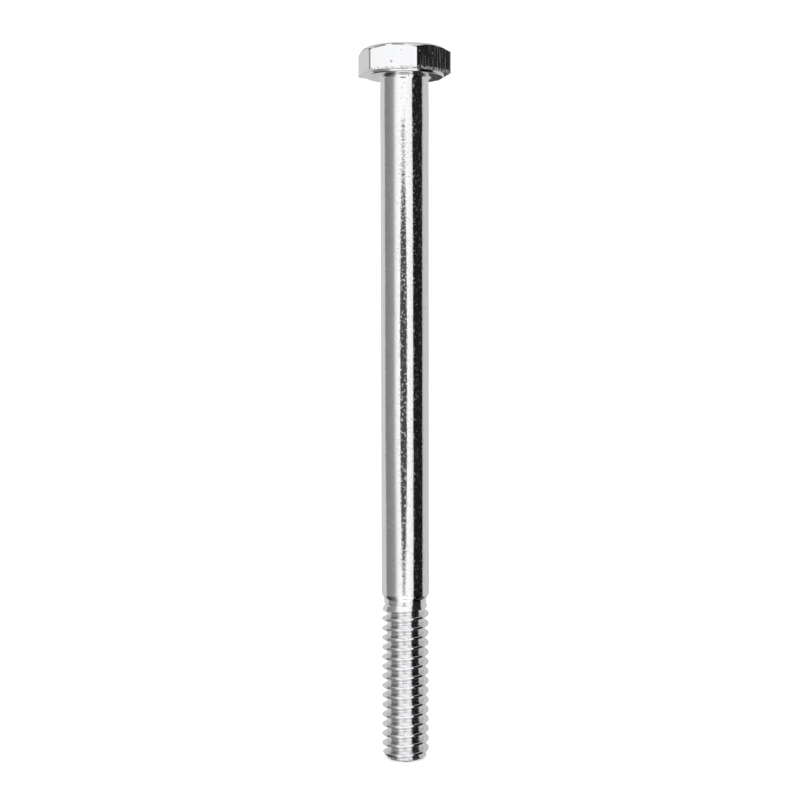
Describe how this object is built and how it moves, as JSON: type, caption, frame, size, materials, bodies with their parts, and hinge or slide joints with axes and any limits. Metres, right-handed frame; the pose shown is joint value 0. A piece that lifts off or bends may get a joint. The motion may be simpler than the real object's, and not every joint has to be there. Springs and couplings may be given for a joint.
{
  "type": "hex bolt",
  "caption": "Long zinc-plated steel hex bolt with a chamfered head, washer face, plain shank and a short rolled thread.",
  "frame": {"origin": "middle of the bearing plane under the head", "axes": "+Z along the axis towards the head; two flats of the hexagon face +Y and -Y, two corners lie on the X axis"},
  "size_m": [0.0124, 0.0108, 0.0926],
  "materials": {
    "zinc_head": "bright zinc plating over forged and trimmed steel, fine upright draw lines",
    "zinc_washer_face": "bright zinc plating, faint turned rings",
    "zinc_shank": "bright zinc plating, glossy, with fine specks and rub marks",
    "zinc_thread": "bright zinc plating over a rolled thread",
    "zinc_point": "bright zinc plating over a rough cut end"
  },
  "bodies": {
    "root": {"hex_head": "zinc_head", "washer_face": "zinc_washer_face", "shank": "zinc_shank", "thread_runout": "zinc_thread", "thread": "zinc_thread", "point": "zinc_point"}
  },
  "joints": []
}
